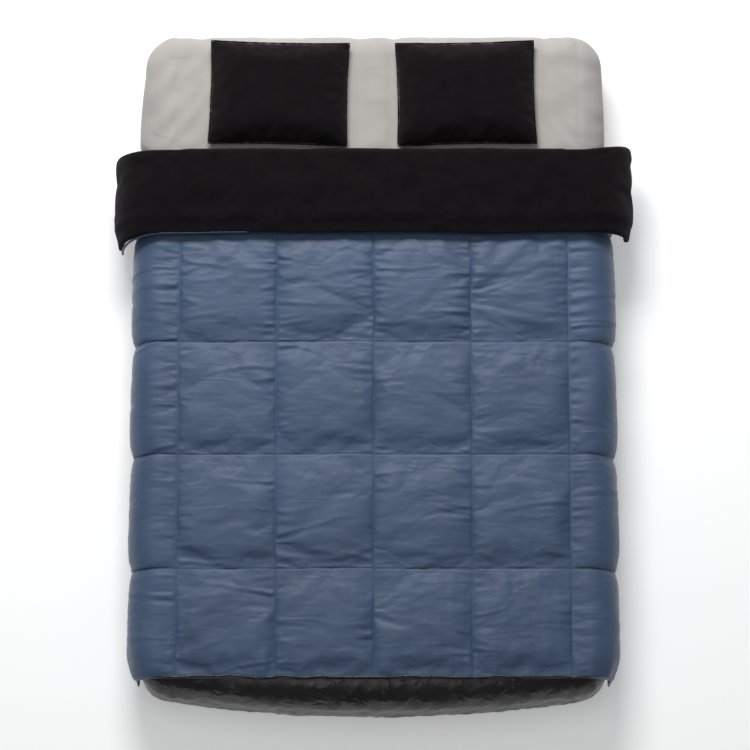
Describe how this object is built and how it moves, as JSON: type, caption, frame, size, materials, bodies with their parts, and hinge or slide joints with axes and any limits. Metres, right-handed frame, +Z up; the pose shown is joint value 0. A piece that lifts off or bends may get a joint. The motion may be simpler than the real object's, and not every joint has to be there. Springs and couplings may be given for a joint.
{
  "type": "camp quilt",
  "caption": "Double camp quilt with a turned-back fleece cuff, on a filled fitted base with a dark foot end, side zips and loose pillows.",
  "frame": {"origin": "middle of the base's length and width, on the floor under it", "axes": "+X across the bed, to the sleepers' right lying on their backs with heads at +Y seen from above; +Y from the foot to the head; +Z up"},
  "size_m": [1.691, 2.24, 0.3089],
  "materials": {
    "airbed": "matt coated film",
    "valve": "moulded",
    "sheet": "brushed polyester sheet",
    "taffeta": "calendered taffeta with a slight gloss",
    "shell": "satin ripstop-weight polyester, quilted",
    "filling": "loose fibre",
    "fleece": "short-pile fleece",
    "zip": "woven tape and nylon coil",
    "slider": "satin"
  },
  "bodies": {
    "base": {"under_panel": "taffeta", "sheet_top": "sheet", "sheet_head_panel": "sheet", "sheet_left_panel": "sheet", "sheet_right_panel": "sheet", "foot_end_panel": "taffeta", "cover_left_hem": "taffeta", "cover_right_hem": "taffeta", "airbed_top": "airbed", "airbed_bottom": "airbed", "airbed_band": "airbed", "airbed_beam_1": "airbed", "airbed_beam_2": "airbed", "airbed_beam_3": "airbed", "airbed_beam_4": "airbed", "airbed_beam_5": "airbed", "valve_body": "valve", "base_left_zip_tape": "zip", "base_left_zip_coil": "zip", "base_left_zip_head_stop": "slider", "base_left_zip_foot_stop": "slider", "base_right_zip_tape": "zip", "base_right_zip_coil": "zip", "base_right_zip_head_stop": "slider", "base_right_zip_foot_stop": "slider"},
    "quilt": {"quilt_shell": "shell", "quilt_filling": "filling", "quilt_lining": "fleece", "quilt_foot_binding": "taffeta", "quilt_left_binding": "shell", "quilt_right_binding": "shell", "quilt_left_zip_tape": "zip", "quilt_left_zip_coil": "zip", "quilt_right_zip_tape": "zip", "quilt_right_zip_coil": "zip"},
    "cuff": {"cuff_shell": "shell", "cuff_filling": "filling", "cuff_fleece": "fleece", "cuff_binding": "shell"},
    "left_slider": {"left_zip_slider": "slider"},
    "left_pull": {"left_zip_pull": "slider"},
    "right_slider": {"right_zip_slider": "slider"},
    "right_pull": {"right_zip_pull": "slider"},
    "left_pillow": {"left_pillow_front": "fleece", "left_pillow_back": "fleece", "left_pillow_filling": "filling"},
    "right_pillow": {"right_pillow_front": "fleece", "right_pillow_back": "fleece", "right_pillow_filling": "filling"},
    "valve_plug": {"valve_cap": "valve"}
  },
  "joints": [
    {"name": "quilt_open", "type": "hinge", "parent": "base", "child": "quilt", "pos_m": [0, -1.0318, 0.2203], "axis": [1, 0, 0], "range_deg": [0, 90]},
    {"name": "cuff_fold", "type": "hinge", "parent": "quilt", "child": "cuff", "pos_m": [0, 0.69, 0.2522], "axis": [1, 0, 0], "range_deg": [-120, 0]},
    {"name": "left_zip_run", "type": "slide", "parent": "base", "child": "left_slider", "axis": [0, 1, 0], "range_m": [-1.56, 0]},
    {"name": "left_pull_swing", "type": "hinge", "parent": "left_slider", "child": "left_pull", "pos_m": [-0.7613, 0.66, 0.0318], "axis": [0, 0, -1], "range_deg": [0, 170]},
    {"name": "right_zip_run", "type": "slide", "parent": "base", "child": "right_slider", "axis": [0, 1, 0], "range_m": [-1.56, 0]},
    {"name": "right_pull_swing", "type": "hinge", "parent": "right_slider", "child": "right_pull", "pos_m": [0.7613, 0.66, 0.0318], "axis": [0, 0, 1], "range_deg": [0, 170]},
    {"name": "left_pillow_lift", "type": "slide", "parent": "base", "child": "left_pillow", "axis": [0, 0, 1], "range_m": [0, 0.4]},
    {"name": "right_pillow_lift", "type": "slide", "parent": "base", "child": "right_pillow", "axis": [0, 0, 1], "range_m": [0, 0.4]},
    {"name": "valve_plug_pull", "type": "slide", "parent": "base", "child": "valve_plug", "axis": [0, 1, 0], "range_m": [0, 0.04]}
  ]
}
